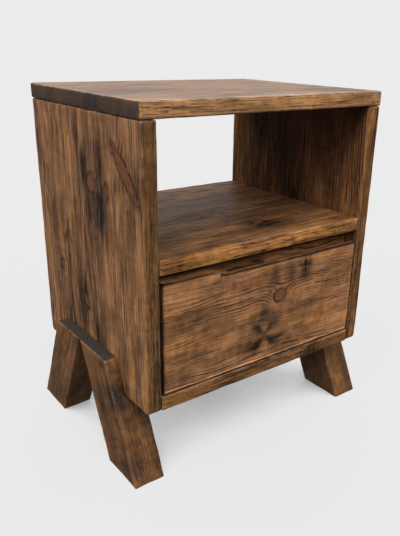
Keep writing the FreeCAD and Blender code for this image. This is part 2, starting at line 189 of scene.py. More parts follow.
class NodeSheet:
    """The node sheet of one material or world, with one way to add any node."""

    # How far a seed moves a noise along each part of its vector.
    SPREAD = (1.0, 1.7, 2.3)

    def __init__(self, owner: Union[bpy.types.Material, bpy.types.World]) -> None:
        """Empties the sheet of its owner.

        Args:
            owner: the material or world that the nodes are for.
        """
        owner.use_nodes = True
        self.owner = owner
        self.tree = owner.node_tree
        self.tree.nodes.clear()

    def node(
        self,
        kind: str,
        settings: Mapping[str, object] | None = None,
        entries: Mapping[Union[str, int], Entry] | None = None,
    ) -> bpy.types.Node:
        """Adds a node.

        Args:
            kind: the node's type.
            settings: its settings, which are set first; "stops" gives a ramp's stops.
            entries: the value or link of each socket, by name or number.

        Returns:
            The node.
        """
        made = self.tree.nodes.new(kind)
        for name, value in (settings or {}).items():
            if name == "stops":
                self._stops(made.color_ramp, value)
            else:
                setattr(made, name, value)
        for name, value in (entries or {}).items():
            socket = made.inputs[name]
            if isinstance(value, Value):
                value = value.socket
            if isinstance(value, bpy.types.NodeSocket):
                self.tree.links.new(value, socket)
            else:
                socket.default_value = value
        return made

    @staticmethod
    def _stops(ramp: bpy.types.ColorRamp, stops: Sequence[tuple[float, float]]) -> None:
        """Gives a ramp its stops.

        Args:
            ramp: the ramp.
            stops: each a place and a grey.
        """
        while len(ramp.elements) < len(stops):
            ramp.elements.new(1.0)
        for element, (place, grey) in zip(ramp.elements, stops):
            element.position = place
            element.color = (grey, grey, grey, 1.0)

    def maths(self, operation: str, *entries: Entry) -> Value:
        """One Math node.

        Args:
            operation: what it does.
            entries: its numbers, in order.

        Returns:
            Its result.
        """
        made = self.node("ShaderNodeMath", {"operation": operation}, dict(enumerate(entries)))
        return Value(self, made.outputs[0])

    def ramp(self, value: Value, stops: Sequence[tuple[float, float]]) -> Value:
        """A value put through a ramp of greys.

        Args:
            value: what goes in.
            stops: each a place and a grey.

        Returns:
            The grey.
        """
        made = self.node("ShaderNodeValToRGB", {"stops": stops}, {"Fac": value})
        return Value(self, made.outputs["Color"])

    def noise(
        self, where: Entry, lengths: Triple, seed: float, detail: float = 2.0, rough: float = 0.55
    ) -> Value:
        """A smooth noise, from about 0.25 to 0.75.

        Args:
            where: the vector that it is read at.
            lengths: how long its lumps are along each part of that vector.
            seed: a number that moves it to another place in the noise.
            detail: how many finer layers it has.
            rough: how strong the finer layers are.

        Returns:
            The noise.
        """
        spread = self.node(
            "ShaderNodeVectorMath",
            {"operation": "MULTIPLY_ADD"},
            {0: where, 1: tuple(1.0 / n for n in lengths), 2: tuple(seed * n for n in self.SPREAD)},
        )
        made = self.node(
            "ShaderNodeTexNoise",
            {"noise_dimensions": "3D"},
            {"Vector": spread.outputs[0], "Scale": 1.0, "Detail": detail, "Roughness": rough},
        )
        return Value(self, made.outputs[0])

    def blend(self, under: Entry, over: Entry, share: Entry, how: str = "MIX") -> Socket:
        """Two colours blended.

        Args:
            under: the colour underneath.
            over: the colour on top.
            share: how much of the top one shows.
            how: the kind of blend.

        Returns:
            The blended colour.
        """
        under, over = (self._solid(c) for c in (under, over))
        made = self.node(
            "ShaderNodeMix",
            {"data_type": "RGBA", "blend_type": how, "clamp_factor": True},
            {0: share, 6: under, 7: over},
        )
        return made.outputs[2]

    @staticmethod
    def _solid(colour: Entry) -> Entry:
        """A plain colour with its fourth number, or a link as it is."""
        return (*colour, 1.0) if isinstance(colour, tuple) else colour

    def mark(self, name: str) -> Value:
        """A number kept on the mesh, which is 0 on a mesh without it.

        Args:
            name: the attribute's name.

        Returns:
            The number.
        """
        made = self.node("ShaderNodeAttribute", {"attribute_name": name})
        return Value(self, made.outputs["Fac"])

    def bump(self, strength: float, distance: float, height: Value) -> Socket:
        """The normal that a relief gives.

        Args:
            strength: how strong the relief is.
            distance: how high it is where height is 1, in metres.
            height: the relief.

        Returns:
            The normal.
        """
        entries = {"Strength": strength, "Distance": distance, "Height": height}
        return self.node("ShaderNodeBump", {}, entries).outputs[0]

    def surface(self, entries: Mapping[Union[str, int], Entry]) -> bpy.types.Material:
        """Ends a material's sheet with its shader.

        Args:
            entries: the shader's entries.

        Returns:
            The material.
        """
        shader = self.node("ShaderNodeBsdfPrincipled", {}, entries)
        self.node("ShaderNodeOutputMaterial", {}, {"Surface": shader.outputs[0]})
        return self.owner


# ---------------------------------------------------------------- how wood lies


@dataclass(frozen=True)
class Lie:
    """How a piece of wood lies: its middle, and the ways its grain and width run."""

    middle: Vector
    grain: Vector
    across: Vector

    @property
    def turn(self) -> Matrix:
        """The turn that takes the frame's axes to grain, width and thickness."""
        return Matrix((self.grain, self.across, self.grain.cross(self.across)))

    def place(self, point: Triple) -> Vector:
        """A point's place in the wood.

        Args:
            point: the point in the frame, in millimetres.

        Returns:
            How far it is along, across and through the wood, in millimetres.
        """
        return self.turn @ (Vector(point) - self.middle / MM)


@dataclass(frozen=True)
class Knot:
    """A knot in a board, in millimetres and radians.

    Swirl is how many rings it pushes out, shade how dark its halo is, red how much of its
    heart shows, and star how dark the four petals round it are.
    """

    at: Triple
    radius: float
    stretch: float = 1.25
    turn: float = 0.0
    swirl: float = 5.0
    shade: float = 0.75
    red: float = 1.0
    star: float = 0.0


@dataclass(frozen=True)
class Smudge:
    """A dark cloud on a board, in millimetres; most lie where the stain went deep."""

    at: Triple
    along: float
    wide: float
    depth: float = 0.8


@dataclass(frozen=True)
class Stock:
    """What is particular to one board: where its pith was, and its knots and clouds.

    The numbers from tone to sheen say how bright, streaked, lined, mottled, bright along its
    edges, paled by a painted sheen and shiny it is beside the finish's own measure.
    """

    seed: float
    pith: tuple[float, float] = (12.0, -78.0)
    tone: float = 1.0
    streaks: float = 1.0
    lines: float = 1.0
    mottle: float = 1.0
    edge_tone: float = 1.0
    # How far the board is paled all over towards the bare colour: a painted sheen.
    pale: float = 0.0
    sheen: float = 1.0
    knots: tuple[Knot, ...] = ()
    smudges: tuple[Smudge, ...] = ()


@dataclass(frozen=True)
class Lumps:
    """A layer of noise, with its lumps' lengths in millimetres.

    Shift moves it away from the board's other layers. It starts to show where the noise is
    low, and shows fully where it is high.
    """

    lengths: Triple
    shift: float = 0.0
    detail: float = 2.0
    rough: float = 0.55
    low: float = 0.0
    high: float = 1.0


class Layer(Enum):
    """The layers of noise that wood is made from."""

    FIBRE = Lumps((26.0, 0.7, 0.7), 3.1, 3.0, 0.65)
    WOBBLE = Lumps((9.0, 7.0, 30.0), 7.7)
    RAGGED = Lumps((38.0, 5.0, 14.0), 1.3, 3.0, 0.6)
    BARRED = Lumps((6.0, 26.0, 26.0), 1.9, 3.0, 0.6)
    SWAY = Lumps((210.0, 70.0, 60.0))
    RIPPLE = Lumps((60.0, 12.0, 12.0), 5.3)
    BROKEN = Lumps((24.0, 3.0, 3.0), 6.6, 2.0, 0.6, 0.34, 0.60)
    GOLD = Lumps((110.0, 17.0, 17.0), 9.4, 3.0, 0.55, 0.44, 0.62)
    TINT = Lumps((95.0, 26.0, 26.0), 2.2, 4.0, 0.6, 0.36, 0.62)
    MOTTLE = Lumps((9.0, 20.0, 20.0), 4.9, 4.0, 0.6)
    LONG = Lumps((170.0, 10.0, 10.0), 6.1, 3.0, 0.6, 0.50, 0.64)
    FINE = Lumps((58.0, 2.6, 2.6), 8.8, 2.0, 0.6, 0.48, 0.60)
    NICKS = Lumps((11.0, 1.1, 1.1), 0.6, 2.0, 0.6, 0.54, 0.62)
    COMB = Lumps((75.0, 2.3, 2.3), 3.7, 2.0, 0.6, 0.49, 0.59)
    RUBBED_AND_HIGHLIT = Lumps((13.0, 7.0, 7.0), 11.0, 3.0, 0.6, 0.44, 0.62)
    FIGURE = Lumps((120.0, 14.0, 1.2), 0.0, 4.0, 0.6, 0.38, 0.68)
    PORES = Lumps((14.0, 0.8, 0.8), 3.0)


class WoodSheet(NodeSheet):
    """The node sheet of one piece of wood, with what a finish reads from the wood."""

    def __init__(self, name: str, lie: Lie, stock: Stock) -> None:
        """Starts a material and finds each point's place in the wood, in millimetres.

        Args:
            name: the material's name.
            lie: how the wood lies.
            stock: what is particular to the board.
        """
        super().__init__(bpy.data.materials.new(name))
        self.lie = lie
        self.stock = stock
        self.where = self.node(
            "ShaderNodeMapping",
            {"vector_type": "POINT"},
            {
                "Vector": self.node("ShaderNodeTexCoord").outputs["Object"],
                "Location": tuple(lie.turn @ (lie.middle / MM) * -1.0),
                "Rotation": tuple(lie.turn.to_euler("XYZ")),
                "Scale": (1.0 / MM,) * 3,
            },
        ).outputs[0]
        parts = self.node("ShaderNodeSeparateXYZ", {}, {0: self.where}).outputs
        self.along, self.across, self.through = (Value(self, part) for part in parts)
        self.end, self.edge, self.wear = (self.mark(way) for way in ("end", "edge", "wear"))

    def lumps(self, layer: Layer) -> Value:
        """A layer of noise, from about 0.25 to 0.75.

        Args:
            layer: which layer.

        Returns:
            The noise.
        """
        made = layer.value
        seed = self.stock.seed + made.shift
        return self.noise(self.where, made.lengths, seed, made.detail, made.rough)

    def shown(self, layer: Layer) -> Value:
        """How far a layer of noise shows, from 0 to 1."""
        return self.lumps(layer).rise(layer.value.low, layer.value.high)


# ---------------------------------------------------------------- finishes


@dataclass
class Marks:
    """What a board's knots and clouds do: they push its rings and colour its face."""

    swirl: Value
    heart: Value
    rim: Value
    cloud: Value


@dataclass(frozen=True)
class StainedPine:
    """Pine under a dark wax stain, rubbed back along its edges, where the paler edges are also a
    painted highlight.
    """

    name: str
    early: Colour = (0.375, 0.175, 0.076)
    late: Colour = (0.056, 0.022, 0.009)
    stain: Colour = (0.016, 0.010, 0.007)
    gold: Colour = (0.430, 0.182, 0.040)
    heart: Colour = (0.250, 0.090, 0.038)
    # Bare wood: the colour of rubbed wear, and of the painted highlight on edges and the painted sheen.
    bare_and_sheen: Colour = (0.360, 0.225, 0.130)
    gold_share: float = 0.26
    edge_gold: float = 0.50
    heart_share: float = 0.86
    rim_share: float = 0.85
    ring: float = 4.7
    taper: float = 0.045
    sway: float = 34.0
    ripple: float = 2.6
    edge_fade: float = 0.55
    long_streaks: float = 0.45
    fine_streaks: float = 0.50
    nicks: tuple[float, float] = (0.12, 0.38)
    comb: tuple[float, float] = (0.20, 0.20)
    cloud_depth: float = 1.05
    soak: float = 0.84
    streak_depth: float = 0.92
    # How strongly the edges are paled, partly as real wear and partly as a painted highlight.
    wear_and_highlight: float = 0.38
    roughness: float = 0.36
    end_roughness: float = 0.38
    bump: float = 0.32
    bump_height: float = 0.0006
    coat: float = 0.12
    coat_roughness: float = 0.24

    # How late wood builds up through one ring.
    LATE_STOPS = ((0.0, 0.0), (0.40, 0.06), (0.72, 0.75), (0.90, 1.0), (1.0, 0.0))
    # The number of the first ring, and how far apart the rings' strengths lie in their noise.
    FIRST_RING = 60.0
    RING_STEP = 7.31
    # How far a knot's push on the rings and its halo reach, in its own radii.
    PUSH = 1.9
    HALO = 1.5
    # How drawn out the halo is along the grain and across it.
    HALO_SHAPE = (3.4, 1.15)
    # How many rings a knot has inside.
    INNER_RINGS = 2.4
    # How wide a knot's outline is: a share of its radius, and millimetres on top.
    OUTLINE = (0.12, 0.7)
    # How far a star knot's petals lie from its middle, and how long they are, in millimetres.
    PETAL_OUT = 14.0
    PETAL_LONG = 13.0

    def material(self, label: str, lie: Lie, stock: Stock) -> bpy.types.Material:
        """The finish on one piece of wood.

        Args:
            label: the piece's name.
            lie: how the wood lies in it.
            stock: what is particular to that wood.

        Returns:
            The material.
        """
        wood = WoodSheet(f"{self.name}_{label}", lie, stock)
        marks = self._marks(wood)
        late = self._rings(wood, marks.swirl)
        fibre = wood.lumps(Layer.FIBRE)
        colour = self._body_colour(wood, late, fibre)
        colour, dark = self._stained(wood, colour, marks.cloud)
        colour = wood.blend(colour, self.heart, marks.heart * self.heart_share)
        colour = wood.blend(colour, self.stain, (marks.rim * self.rim_share).held())
        # Edges paled in patches: partly real wear, partly a painted highlight along the arrises.
        worn = wood.wear * wood.shown(Layer.RUBBED_AND_HIGHLIT) * self.wear_and_highlight
        colour = wood.blend(colour, self.bare_and_sheen, worn)
        relief = fibre * 0.55 - late * 0.30 - marks.rim * 0.6 - marks.heart * 0.15
        gloss = self.roughness + (fibre - 0.5) * 0.22 + dark * 0.08 - worn * 0.06
        gloss = gloss + late * 0.04 + wood.end * self.end_roughness
        return wood.surface(
            {
                "Base Color": colour,
                "Roughness": gloss.held(),
                "Normal": wood.bump(self.bump, self.bump_height, relief),
                "Coat Weight": (1.0 - wood.end) * (self.coat * stock.sheen),
                "Coat Roughness": self.coat_roughness,
                "Specular IOR Level": 0.5 * stock.sheen,
                "IOR": 1.5,
            }
        )

    def _marks(self, wood: WoodSheet) -> Marks:
        """What the board's knots and clouds do.

        Args:
            wood: the wood's node sheet.

        Returns:
            The marks, all 0 on a clear board.
        """
        wobble = (wood.lumps(Layer.WOBBLE) - 0.5) * 5.0
        ragged = wood.lumps(Layer.RAGGED)
        barred = wood.lumps(Layer.BARRED)
        marks = Marks(*(wobble * 0.0 for _ in range(4)))
        for knot in wood.stock.knots:
            self._knot(wood, marks, knot, wobble, ragged, barred)
        for smudge in wood.stock.smudges:
            at = wood.lie.place(smudge.at)
            run = (wood.along - at.x) / smudge.along
            side = (wood.across - at.y) / smudge.wide
            reach = (run * run + side * side).root()
            torn = barred if smudge.wide > smudge.along else ragged
            marks.cloud = marks.cloud + reach.bell(1.0) * torn.rise(0.20, 0.52) * smudge.depth
        return Marks(marks.swirl, marks.heart.held(), marks.rim.held(), marks.cloud.held())

    def _knot(
        self,
        wood: WoodSheet,
        marks: Marks,
        knot: Knot,
        wobble: Value,
        ragged: Value,
        barred: Value,
    ) -> None:
        """Adds one knot to the marks.

        Args:
            wood: the wood's node sheet.
            marks: the marks so far.
            knot: the knot.
            wobble: how far outlines stray, in millimetres.
            ragged: a noise drawn out along the grain.
            barred: a noise drawn out across it.
        """
        at = wood.lie.place(knot.at)
        run = wood.along - at.x
        side = wood.across - at.y
        c, s = math.cos(knot.turn), math.sin(knot.turn)
        long = (run * c + side * s) / knot.stretch
        short = side * c - run * s
        out = (long * long + short * short).root() + wobble * (0.14 * knot.radius ** 0.5)
        marks.swirl = marks.swirl + out.bell(self.PUSH * knot.radius) * knot.swirl
        inside = out.rise(1.10 * knot.radius, 0.80 * knot.radius)
        rings = out * (self.INNER_RINGS / knot.radius) + wobble * 0.05
        rings = rings.fraction().rise(0.35, 0.95)
        check = short.bell(0.35) * inside * ragged.rise(0.40, 0.56)
        marks.heart = marks.heart + inside * knot.red
        outline = (out - knot.radius).bell(self.OUTLINE[0] * knot.radius + self.OUTLINE[1])
        drawn = 1.0 - 0.8 * min(1.0, knot.star)
        rim = outline * (0.45 + barred.rise(0.40, 0.58) * 0.65) * drawn
        marks.rim = marks.rim + rim + inside * rings * 0.55 + check * 0.8
        far, wide = run / self.HALO_SHAPE[0], side / self.HALO_SHAPE[1]
        halo = (far * far + wide * wide).root().bell(self.HALO * knot.radius)
        marks.cloud = marks.cloud + halo * ragged.rise(0.36, 0.58) * knot.shade
        if knot.star:
            angle = wood.maths("ARCTAN2", side, run + wobble * 0.8)
            petals = (0.5 - wood.maths("COSINE", angle * 4.0) * 0.5) ** 1.4
            petals = petals * (out - self.PETAL_OUT).bell(self.PETAL_LONG)
            marks.cloud = marks.cloud + petals * knot.star

    def _rings(self, wood: WoodSheet, swirl: Value) -> Value:
        """The growth rings.

        Args:
            wood: the wood's node sheet.
            swirl: how many rings the knots push.

        Returns:
            How much late wood there is.
        """
        sway = (wood.lumps(Layer.SWAY) - 0.5) * self.sway
        ripple = (wood.lumps(Layer.RIPPLE) - 0.5) * self.ripple
        side = wood.across - wood.stock.pith[0]
        depth = wood.through - wood.stock.pith[1]
        out = (side * side + depth * depth).root() + wood.along * self.taper + sway + ripple
        count = out / self.ring + swirl + self.FIRST_RING
        late = wood.ramp(count.fraction(), self.LATE_STOPS)
        strength = wood.noise(count.whole() * self.RING_STEP, (1.0,) * 3, wood.stock.seed, 0.0)
        late = late * (strength * 1.7 - 0.05) * (wood.shown(Layer.BROKEN) * 0.75 + 0.30)
        return late * (1.0 - wood.edge * self.edge_fade) * wood.stock.lines

    def _body_colour(self, wood: WoodSheet, late: Value, fibre: Value) -> Socket:
        """The colour of the wood before the stain's streaks.

        Args:
            wood: the wood's node sheet.
            late: how much late wood there is.
            fibre: the fibres.

        Returns:
            The colour.
        """
        stock = wood.stock
        gold = wood.shown(Layer.GOLD)
        share = gold * self.gold_share + wood.edge * self.edge_gold
        colour = wood.blend(self.early, self.gold, share)
        colour = wood.blend(colour, self.late, (fibre - 0.42) * 1.3)
        colour = wood.blend(colour, self.late, late * (1.15 - gold * 0.75))
        colour = wood.blend(colour, self.gold, late * gold * 0.50)
        # Painted sheen: the faces are paled towards the bare colour, as if catching light.
        colour = wood.blend(colour, self.bare_and_sheen, (1.0 - wood.end) * stock.pale)
        mottle = (wood.lumps(Layer.MOTTLE) - 0.5) * (0.9 * stock.mottle)
        value = 0.62 + wood.shown(Layer.TINT) * 0.60 + mottle
        value = value * stock.tone * (wood.edge * (stock.edge_tone - 1.0) + 1.0)
        grey = wood.node("ShaderNodeCombineColor", {}, {0: value, 1: value, 2: value})
        return wood.blend(colour, grey.outputs[0], 1.0, "MULTIPLY")

    def _stained(self, wood: WoodSheet, colour: Socket, cloud: Value) -> tuple[Socket, Value]:
        """Lays the stain's dark streaks and clouds over the wood.

        Args:
            wood: the wood's node sheet.
            colour: the wood's colour.
            cloud: how dark the clouds are.

        Returns:
            The colour, and how dark the stain is.
        """
        stock = wood.stock
        dark = wood.shown(Layer.LONG) * self.long_streaks * stock.streaks
        dark = dark + wood.shown(Layer.FINE) * self.fine_streaks * stock.streaks
        dark = dark * (1.0 - wood.edge * 0.30)
        dark = dark + wood.shown(Layer.NICKS) * (self.nicks[0] + wood.edge * self.nicks[1])
        comb = wood.shown(Layer.COMB) * (self.comb[0] + wood.edge * self.comb[1])
        dark = (dark + comb * stock.lines) * (1.0 - wood.end * 0.85)
        dark = dark + cloud * self.cloud_depth + wood.end * self.soak
        dark = (dark * self.streak_depth).held()
        return wood.blend(colour, self.stain, dark), dark


@dataclass(frozen=True)
class BirchPly:
    """Clear-waxed birch plywood."""

    name: str = "birch_ply"
    pale: Colour = (0.58, 0.42, 0.25)
    brown: Colour = (0.40, 0.25, 0.13)
    roughness: float = 0.46
    bump: float = 0.2
    bump_height: float = 0.0003

    def material(self, label: str, lie: Lie, stock: Stock) -> bpy.types.Material:
        """The finish on one sheet.

        Args:
            label: the sheet's name.
            lie: how its face veneer lies.
            stock: its seed.

        Returns:
            The material.
        """
        wood = WoodSheet(f"{self.name}_{label}", lie, stock)
        pores = wood.lumps(Layer.PORES)
        mix = wood.shown(Layer.FIGURE) * 0.6 + pores.rise(0.5, 0.8) * 0.5
        return wood.surface(
            {
                "Base Color": wood.blend(self.pale, self.brown, mix.held()),
                "Roughness": (self.roughness + pores * 0.2).held(),
                "Normal": wood.bump(self.bump, self.bump_height, pores),
            }
        )


@dataclass(frozen=True)
class ZincSteel:
    """Zinc-plated steel, a little dulled in patches."""

    name: str = "zinc_steel"
    bright: Colour = (0.62, 0.62, 0.60)
    dull: Colour = (0.34, 0.34, 0.33)
    roughness: float = 0.26
    patch: Triple = (0.004, 0.004, 0.004)
    scratch: Triple = (0.0004, 0.003, 0.0004)
    bump: float = 0.15
    bump_height: float = 0.0001

    def material(self) -> bpy.types.Material:
        """The finish, shared by all the screws.

        Returns:
            The material.
        """
        sheet = NodeSheet(bpy.data.materials.new(self.name))
        point = sheet.node("ShaderNodeTexCoord").outputs["Object"]
        scratch = sheet.noise(point, self.scratch, 5.0, 2.0)
        patch = sheet.noise(point, self.patch, 2.0, 3.0).rise(0.35, 0.7)
        dulled = (patch * 0.7 + scratch * 0.3).held()
        return sheet.surface(
            {
                "Base Color": sheet.blend(self.bright, self.dull, dulled),
                "Metallic": 1.0,
                "Roughness": (self.roughness + dulled * 0.24).held(),
                "Normal": sheet.bump(self.bump, self.bump_height, scratch),
            }
        )


# ---------------------------------------------------------------- shaping wood


class Workpiece:
    """A piece of wood being shaped, as a joiner would take it from sawn to worn."""

    # The least turn between two faces that counts as a sharp edge.
    SHARP = math.radians(28.0)
    # How squarely a face looks along the grain, or the width, to count as an end or an edge.
    FACING = 0.80
    # How many faces a rounded foot and an eased edge have.
    ROUND_STEPS = 4
    EASE_STEPS = 3
    # Over what lengths the faces wander and the edges are knocked, in metres.
    WANDER = 0.055
    KNOCK = 0.017
    # How much of an edge is knocked: none at -1, and all of it at 1.
    KNOCK_BIAS = 0.25

    def __init__(self) -> None:
        """Starts with nothing on the bench."""
        self.mesh = bmesh.new()
        self.wear = self.mesh.faces.layers.float.new("wear")
        self.edge = self.mesh.faces.layers.float.new("edge")
        self.end = self.mesh.faces.layers.float.new("end")

    @classmethod
    def sawn(cls, low: Vector, high: Vector) -> "Workpiece":
        """A square-edged board.

        Args:
            low: its lowest corner.
            high: its highest corner.

        Returns:
            The board.
        """
        made = cls()
        bmesh.ops.create_cube(made.mesh, size=1.0)
        bmesh.ops.scale(made.mesh, vec=high - low, verts=made.mesh.verts)
        bmesh.ops.translate(made.mesh, vec=(low + high) / 2, verts=made.mesh.verts)
        return made

    @classmethod
    def slice(cls, corners: Sequence[Vector], run: Vector) -> "Workpiece":
        """A length of wood with the section that its corners give.

        Args:
            corners: the corners of one end, in order.
            run: from that end to the other.

        Returns:
            The length.
        """
        made = cls()
        made.grow([made.mesh.faces.new([made.mesh.verts.new(c) for c in corners])], run)
        bmesh.ops.recalc_face_normals(made.mesh, faces=made.mesh.faces)
        return made

    def grow(self, faces: Sequence[bmesh.types.BMFace], run: Vector) -> None:
        """Grows the wood out from some faces, which stay where they are.

        Args:
            faces: the faces.
            run: how far and which way it grows.
        """
        grown = bmesh.ops.extrude_face_region(self.mesh, geom=faces)["geom"]
        moved = [v for v in grown if isinstance(v, bmesh.types.BMVert)]
        bmesh.ops.translate(self.mesh, vec=run, verts=moved)

    def round_feet(self, radius: float) -> None:
        """Rounds the two low edges that run along x.

        Args:
            radius: how far the rounding reaches along each face.
        """
        floor = min(v.co.z for v in self.mesh.verts)
        feet = [
            e
            for e in self.mesh.edges
            if all(v.co.z < floor + SAME for v in e.verts)
            and abs(e.verts[0].co.y - e.verts[1].co.y) < SAME
        ]
        self.bevel(feet, radius, self.ROUND_STEPS)

    def bevel(
        self, edges: Sequence[bmesh.types.BMEdge], width: float, steps: int
    ) -> list[bmesh.types.BMFace]:
        """Bevels some edges.

        Args:
            edges: the edges.
            width: how much the bevel takes from each face.
            steps: how many faces it has.

        Returns:
            The faces that it made.
        """
        return bmesh.ops.bevel(
            self.mesh,
            geom=edges,
            offset=width,
            offset_type="OFFSET",
            affect="EDGES",
            segments=steps,
            profile=0.5,
            material=-1,
            clamp_overlap=True,
        )["faces"]

    def cut(self, way: Vector, place: float) -> None:
        """Scores a line right round the piece, which only adds points.

        Args:
            way: the direction that the line is square to.
            place: how far along that direction it is.
        """
        bmesh.ops.bisect_plane(
            self.mesh,
            geom=[*self.mesh.verts, *self.mesh.edges, *self.mesh.faces],
            dist=SAME,
            plane_co=way * place,
            plane_no=way,
        )

    def score(self, way: Vector, spacing: float, rim: float) -> None:
        """Scores evenly spaced lines, and one near each end to hold the eased edge.

        Args:
            way: the direction that the lines are square to.
            spacing: about how far apart they are.
            rim: how far the end lines are from the ends.
        """
        places = [v.co.dot(way) for v in self.mesh.verts]
        low, high = min(places), max(places)
        count = max(1, round((high - low) / spacing))
        inner = (low + (high - low) * n / count for n in range(1, count))
        for place in sorted({low + rim, high - rim, *inner}):
            if low + rim <= place <= high - rim:
                self.cut(way, place)

    def ease(self, width: float) -> None:
        """Rounds every sharp edge, and marks the rounded faces as worn; the finish paints them paler,
        as wear and as a painted highlight.

        Args:
            width: how much the rounding takes from each face.
        """
        sharp = [
            e for e in self.mesh.edges if len(e.link_faces) == 2 and e.calc_face_angle() > self.SHARP
        ]
        for face in self.bevel(sharp, width, self.EASE_STEPS):
            face[self.wear] = 1.0

    def label(self, lie: Lie) -> None:
        """Marks which faces show end grain and which show the board's edge.

        Args:
            lie: how the wood lies in the piece.
        """
        self.mesh.normal_update()
        for face in self.mesh.faces:
            face[self.end] = float(abs(face.normal.dot(lie.grain)) > self.FACING)
            face[self.edge] = float(abs(face.normal.dot(lie.across)) > self.FACING)

    def weather(self, hollow: float, dents: float, seed: float) -> None:
        """Lets the faces wander and dents the edges, always inwards.

        Args:
            hollow: how deep the faces wander.
            dents: how deep the edges are worn.
            seed: a number that moves both to another place in the noise.
        """
        self.mesh.normal_update()
        away = Vector((seed, seed * 1.3, seed * 0.7))
        moves = []
        for vert in self.mesh.verts:
            worn = any(face[self.wear] for face in vert.link_faces)
            wander = 0.5 + 0.5 * noise.noise(vert.co / self.WANDER + away)
            depth = hollow * min(1.0, max(0.0, wander))
            if worn:
                knock = noise.noise(vert.co / self.KNOCK + away * 2.0)
                depth += dents * max(0.0, knock + self.KNOCK_BIAS)
            moves.append((vert, vert.normal * -depth))
        for vert, move in moves:
            vert.co += move

    def finished(
        self, name: str, body: str, nodes: Sequence[str], slot: str, material: bpy.types.Material
    ) -> bpy.types.Object:
        """The piece as an object in its place, standing for its CAD nodes.

        Args:
            name: the object's name.
            body: the CAD body that it moves with.
            nodes: the CAD nodes that it stands for.
            slot: the record's material slot of its finish; not used.
            material: its finish.

        Returns:
            The object.
        """
        bmesh.ops.remove_doubles(self.mesh, verts=self.mesh.verts, dist=SAME)
        for face in self.mesh.faces:
            face.smooth = True
        mesh = bpy.data.meshes.new(name)
        self.mesh.to_mesh(mesh)
        self.mesh.free()
        mesh.materials.append(material)
        piece = bpy.data.objects.new(name, mesh)
        bpy.context.scene.collection.objects.link(piece)
        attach(piece, body)
        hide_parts(*nodes)
        LOG.info("%s: %d faces, moves with %s", name, len(mesh.polygons), body)
        return piece


def lie_of(node: str, grain: Axis, across: Axis) -> Lie:
    """How the wood lies in a CAD board.

    Args:
        node: the board's CAD node.
        grain: the way its grain runs.
        across: the way its width runs.

    Returns:
        The lie.
    """
    low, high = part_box(node)
    return Lie((low + high) / 2, grain.way, across.way)


def dress(node: str, material: bpy.types.Material) -> None:
    """Gives a CAD node its finish.

    Args:
        node: the node's name.
        material: the finish.
    """
    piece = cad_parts[node]
    if not piece.material_slots:
        piece.data.materials.append(material)
    for slot in piece.material_slots:
        slot.material = material


# ---------------------------------------------------------------- the stand


@dataclass(frozen=True)
class BoardPlan:
    """One board: its CAD node, how its wood lies, its stock, and how round its feet are."""

    node: str
    grain: Axis
    across: Axis
    stock: Stock
    foot: float = 0.0


@dataclass
class CaseBoards:
    """The five boards that show: the top, two side panels, the shelf and the bottom."""

    spacing: float = 0.011
    rim: float = 0.0036
    easing: float = 0.0022
    foot_clear: float = 0.001
    hollow: float = 0.00022
    dents: float = 0.0006
    finish: StainedPine = StainedPine("case_pine")
    plans: tuple[BoardPlan, ...] = field(default_factory=lambda: CASE_PLANS)

    def build(self) -> list[bpy.types.Object]:
        """Makes and finishes the boards.

        Returns:
            The boards.
        """
        return [self._board(plan) for plan in self.plans]

    def _board(self, plan: BoardPlan) -> bpy.types.Object:
        """Makes one board from its CAD node's box.

        Args:
            plan: the board's plan.

        Returns:
            The board.
        """
        low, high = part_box(plan.node)
        lie = lie_of(plan.node, plan.grain, plan.across)
        wood = Workpiece.sawn(low, high)
        if plan.foot:
            wood.round_feet(plan.foot)
        for axis in Axis:
            rounded = plan.foot and axis is not Axis.X
            rim = plan.foot + self.foot_clear if rounded else self.rim
            wood.score(axis.way, self.spacing, rim)
        wood.label(lie)
        wood.ease(self.easing)
        wood.weather(self.hollow, self.dents, plan.stock.seed)
        material = self.finish.material(plan.node, lie, plan.stock)
        return wood.finished(f"{plan.node}_wood", "case", [plan.node], "case_pine", material)


